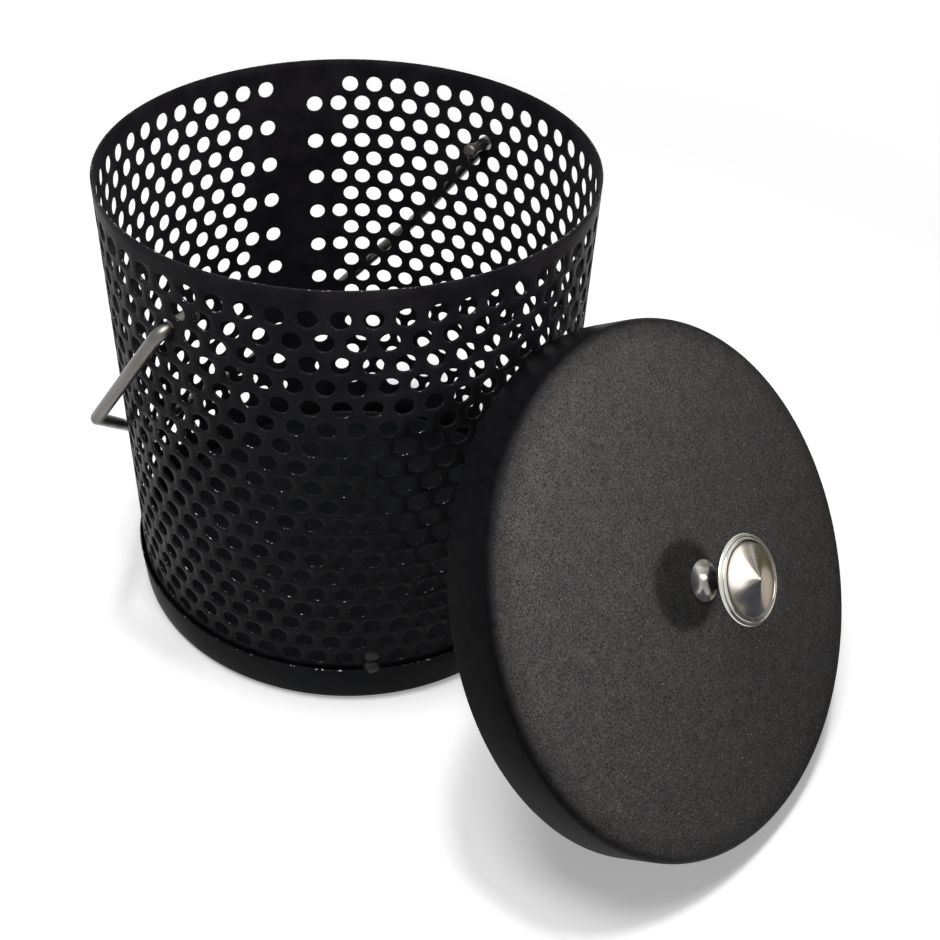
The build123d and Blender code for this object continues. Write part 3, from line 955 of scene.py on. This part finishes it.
# %% Bail path
ROD_R = 2.25
BEND_R = 4.0
BEND_STEPS = 10
STANDOFF = 4.2
END_LENGTH = 11.0
LEG = 64.0
TAPER = np.radians(35.0)
REACH = 146.0
HEADED_R = 2.7
HEADED_T = 1.8
HEADED_EDGE = 0.5
PIVOT_COLUMNS = (6, 34)
PIVOT_ROW = 2                   # counted from 0 at the top
PIVOT_Z = TOP_ROW_Z - PIVOT_ROW * ROW_PITCH
BAIL_WALL_GAP = 0.3
ROD_SPOKES = 32
DRAW_RATIO = 20.0               # how much longer the streaks are than wide

right_pivot, left_pivot = on_drum(np.array(PIVOT_COLUMNS, float), PIVOT_Z, WALL_MIDDLE)
pivot_middle = (right_pivot + left_pivot) / 2
pivot_axis = unit(left_pivot - right_pivot)
outwards = np.cross(pivot_axis, [0, 0, 1])
half_span = np.linalg.norm(left_pivot - right_pivot) / 2
leg_offset = half_span + STANDOFF
grip_half = leg_offset - (REACH - LEG) * np.tan(TAPER)
bail_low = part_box("bail_handle")[0].z / MM
print(f"pivots {2 * half_span:.1f} mm apart, grip {2 * grip_half:.0f} mm wide")

# %% How far the bail hangs
reach_to_wall = WALL_R + ROD_R + BAIL_WALL_GAP
sideways = leg_offset * np.cos(TAPER) + LEG * np.sin(TAPER)
off_centre = pivot_middle @ outwards * np.sin(TAPER)
square = sideways**2 - (reach_to_wall * np.cos(TAPER)) ** 2
constant = off_centre**2 - (reach_to_wall * np.sin(TAPER)) ** 2
root = np.sqrt((sideways * off_centre) ** 2 - square * constant)
hang_cos = (root - sideways * off_centre) / square
hang = np.arccos(hang_cos)
leg_direction = outwards * np.cos(hang) - np.array([0, 0, 1]) * np.sin(hang)
print(f"the bail hangs {np.degrees(hang):.1f} degrees below level, lowest at {bail_low:.1f} mm")


# %% Bail mesh
def rounded_path(corners, radius, steps):
    """Straight runs joined by arcs: at each corner the arc starts radius tan(turn / 2) before it
    and its points are centre + radius (cos, sin) between the two runs' normals."""
    path = [corners[:1]]
    for before, corner, after in zip(corners[:-2], corners[1:-1], corners[2:]):
        run_in, run_out = unit(corner - before), unit(after - corner)
        turn = np.arccos(np.clip(run_in @ run_out, -1, 1))
        side = unit(run_out - run_in * (run_in @ run_out))
        start = corner - run_in * radius * np.tan(turn / 2)
        a = np.linspace(0, turn, steps + 1)[:, None]
        path.append(start + radius * (np.sin(a) * run_in + (1 - np.cos(a)) * side))
    path.append(corners[-1:])
    return np.concatenate(path)


end_offset = half_span - END_LENGTH
half_bail = np.array([(end_offset, 0), (leg_offset, 0), (leg_offset, LEG), (grip_half, REACH)])
flat_corners = np.concatenate([half_bail * (-1, 1), half_bail[::-1]])
corners = pivot_middle + flat_corners[:, :1] * pivot_axis + flat_corners[:, 1:] * leg_direction
bends = rounded_path(corners, BEND_R, BEND_STEPS)
end_steps = np.array([0, 0, HEADED_EDGE, HEADED_T, HEADED_T, HEADED_T + 0.6])
end_radii = np.array([0, HEADED_R - HEADED_EDGE, HEADED_R, HEADED_R, ROD_R, ROD_R])
head_in = bends[0] + unit(bends[1] - bends[0]) * end_steps[:, None]
head_out = bends[-1] + unit(bends[-2] - bends[-1]) * end_steps[::-1, None]
print(f"bail path of {len(bends)} points")

# %% Rod
NO_LENGTH = 1e-6
middle = bends[1:-1]
rod_path = np.concatenate([head_in, middle, head_out])
rod_radii = np.concatenate([end_radii, np.full(len(middle), ROD_R), end_radii[::-1]])
plane_normal = np.cross(pivot_axis, leg_direction)
print(f"rod of {len(rod_path)} rings")


def rod_frames(path):
    """Along the path at each point: the sum of the unit runs on both sides, not yet a unit."""
    runs = np.diff(path, axis=0)
    lengths = np.linalg.norm(runs, axis=1)[:, None]
    runs = np.where(lengths > NO_LENGTH, runs / np.maximum(lengths, NO_LENGTH), 0)
    return np.concatenate([runs[:1], runs]) + np.concatenate([runs, runs[-1:]])


directions = rod_frames(rod_path)
directions[:len(end_steps)] = unit(bends[1] - bends[0])
directions[-len(end_steps):] = unit(bends[-1] - bends[-2])
directions = directions / np.linalg.norm(directions, axis=1)[:, None]
sides = np.cross(plane_normal, directions)
spin = np.arange(ROD_SPOKES) * FULL_TURN / ROD_SPOKES
spokes = (np.cos(spin)[None, :, None] * sides[:, None]
          + np.sin(spin)[None, :, None] * plane_normal)
run_lengths = np.linalg.norm(np.diff(rod_path, axis=0, prepend=rod_path[:1]), axis=1)
shortened = np.cumsum(run_lengths)[:, None] / DRAW_RATIO
shortened = np.broadcast_to(shortened, (len(rod_path), ROD_SPOKES))
drawn_mark = np.stack([ROD_R * np.cos(spin) + 0 * shortened,
                       ROD_R * np.sin(spin) + 0 * shortened, shortened], axis=-1) * MM
wire_bail = skin("wire_bail", rod_path[:, None] + rod_radii[:, None, None] * spokes,
                 {"drawn": drawn_mark})
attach(wire_bail, "bail")
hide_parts("bail_handle")

# %% [markdown]
# ## Bail finish
# The rod is drawn steel, darkened by heat and polished by hands. Drawing leaves streaks along
# it, so the mesh carries a place on a straightened, shortened rod as a mark: a noise there is
# stretched along the real one, and it closes round it without a seam.

# %% Bail finish
ROD_DARK = (0.085, 0.08, 0.074)
ROD_PALE = (0.19, 0.18, 0.165)
ROD_PIT = (0.03, 0.028, 0.026)


def drawn_steel(name):
    """Dark steel with streaks along the rod, dull heat clouds and small pits."""
    made, tree, shader, place = new_finish(name, 0.5, metallic=1.0)
    drawn = mark_value(tree, "drawn", "Vector")
    streaks = noise(tree, 0.7, drawn, 3, 31.0)
    clouds = spread(tree, noise(tree, 14.0, place, 3, 32.0), 0.35, 0.65)
    pits = spread(tree, noise(tree, 0.6, place, 1, 33.0), 0.7, 0.76)
    share = times(tree, spread(tree, streaks, 0.25, 0.75, 0.35, 1.0),
                  spread(tree, clouds, 0, 1, 0.6, 1.0))
    colour = mixed(tree, pits, mixed(tree, share, ROD_DARK, ROD_PALE), ROD_PIT)
    rough = spread(tree, share, 0, 1, 0.4, 0.24)
    connect(tree, shader, colour, rough, relief(tree, streaks, 0.01))
    return made


dress(wire_bail, drawn_steel("drawn_steel"))

# %% [markdown]
# ## Weld beads
# The wall is held in the pan by plug welds: one hole of the lowest row is filled, and the metal
# runs down on to the pan's edge. Each is a pair of lumps. A ball pressed flat and roughened by a
# few waves is enough for a shape so small, and its formula closes it at both ends.

# %% Weld beads
WELD_COLUMNS = (9, 27, 45)
WELD_ROWS = 24
WELD_SPOKES = 40
# half width, half height, drop below the hole, stand-off, depth in front and depth behind
PLUG = (3.15, 3.15, 0.0, 0.0, 0.95, 0.85)
BEAD = (3.5, 2.5, 5.0, 0.4, 2.0, 0.3)


def lump(column, half_width, half_height, drop, stand_off, front, back, phase):
    """Point (a, b) of a ball, a round it and b from back to front: cos b is raised to 0.6, so that
    the edge is full, and the whole is swollen by the sum of three small waves in a and b."""
    lowest = TOP_ROW_Z - (ROWS - 1) * ROW_PITCH
    place = on_drum(np.array(float(column)), np.array(lowest), WALL_MIDDLE)
    out = unit(place * (1, 1, 0))
    along = np.cross([0, 0, 1], out)
    a = np.arange(WELD_SPOKES) * FULL_TURN / WELD_SPOKES
    b = np.linspace(-np.pi / 2, np.pi / 2, WELD_ROWS)[:, None]
    waves = 0.030 * np.sin(3 * a + phase) + 0.025 * np.sin(5 * b + 2 * phase)
    swell = 0.93 + np.cos(b) * (waves + 0.015 * np.cos(7 * a - 3 * b + phase))
    reach = swell * np.maximum(np.cos(b), 0) ** 0.6
    x = reach * np.cos(a) * half_width
    y = reach * np.sin(a) * half_height - drop
    z = stand_off + swell * np.sin(b) * np.where(b > 0, front, back)
    return place + x[..., None] * along + y[..., None] * np.array([0, 0, 1]) + z[..., None] * out


lumps = [lump(column, *sizes, phase=turn + offset) for turn, column in enumerate(WELD_COLUMNS)
         for sizes, offset in ((PLUG, 0.0), (BEAD, 0.5))]
lump_quads = grid_quads(WELD_ROWS, WELD_SPOKES, wrap_rows=False, wrap_columns=True)
weld_points = np.concatenate([points.reshape(-1, 3) for points in lumps])
weld_quads = np.concatenate([lump_quads + k * WELD_ROWS * WELD_SPOKES for k in range(len(lumps))])
weld_stay, weld_quads, weld_triangles = joined(weld_points, weld_quads)
plug_welds = mesh_piece("plug_welds", weld_points[weld_stay], weld_quads, weld_triangles, 180, {})
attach(plug_welds, "bucket")
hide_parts("wall_welds")

# %% [markdown]
# ## Weld finish
# The welds were coated together with the wall, so they are black too, but glossier, with fine
# ripples where the metal froze. Ripples are bands, so a wave texture bent by noise makes them.

# %% Weld finish
WELD_DARK = (0.004, 0.004, 0.0045)
WELD_PALE = (0.014, 0.0135, 0.013)
WELD_GLOSS = 0.16
RIPPLE_DEPTH = 0.05


def coated_weld(name):
    """A black skin in two tones over fine ripples."""
    made, tree, shader, place = new_finish(name, WELD_GLOSS)
    ripples = node(tree, "TexWave", Vector=place, Scale=900.0, Distortion=6.0, Detail=2.0)
    scale = noise(tree, 1.2, place, 3, 41.0)
    connect(tree, shader, mixed(tree, spread(tree, scale, 0.35, 0.7), WELD_DARK, WELD_PALE),
            spread(tree, scale, 0.3, 0.7, 0.26, 0.46),
            relief(tree, ripples.outputs["Fac"], RIPPLE_DEPTH))
    return made


dress(plug_welds, coated_weld("weld_black"))

# %% [markdown]
# ## Screw and washer finish
# The screw and washer inside the lid keep their measured solids, and only get a finish: zinc,
# which lies in small crystals that each catch the light a little differently. A cell texture
# gives every crystal its own shade.

# %% Screw and washer finish
ZINC_DARK = (0.50, 0.51, 0.52)
ZINC_PALE = (0.64, 0.64, 0.63)
ZINC_STAIN = (0.33, 0.31, 0.28)


def zinc_plate(name):
    """Crystals of under a millimetre in slightly different greys, and a few dull stains."""
    made, tree, shader, place = new_finish(name, 0.5, metallic=1.0)
    crystals = node(tree, "TexVoronoi", Vector=place, Scale=1400.0).outputs["Color"]
    shade = node(tree, "SeparateColor", in0=crystals).outputs[0]
    stains = spread(tree, noise(tree, 2.5, place, 3, 51.0), 0.55, 0.7)
    colour = mixed(tree, shade, ZINC_DARK, ZINC_PALE)
    connect(tree, shader, mixed(tree, stains, colour, ZINC_STAIN),
            spread(tree, shade, 0, 1, 0.28, 0.42),
            relief(tree, noise(tree, 0.4, place, 2, 52.0), 0.004))
    return made


zinc = zinc_plate("zinc_plate")
for fixing in ("knob_washer", "knob_screw"):
    dress(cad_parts[fixing], zinc)
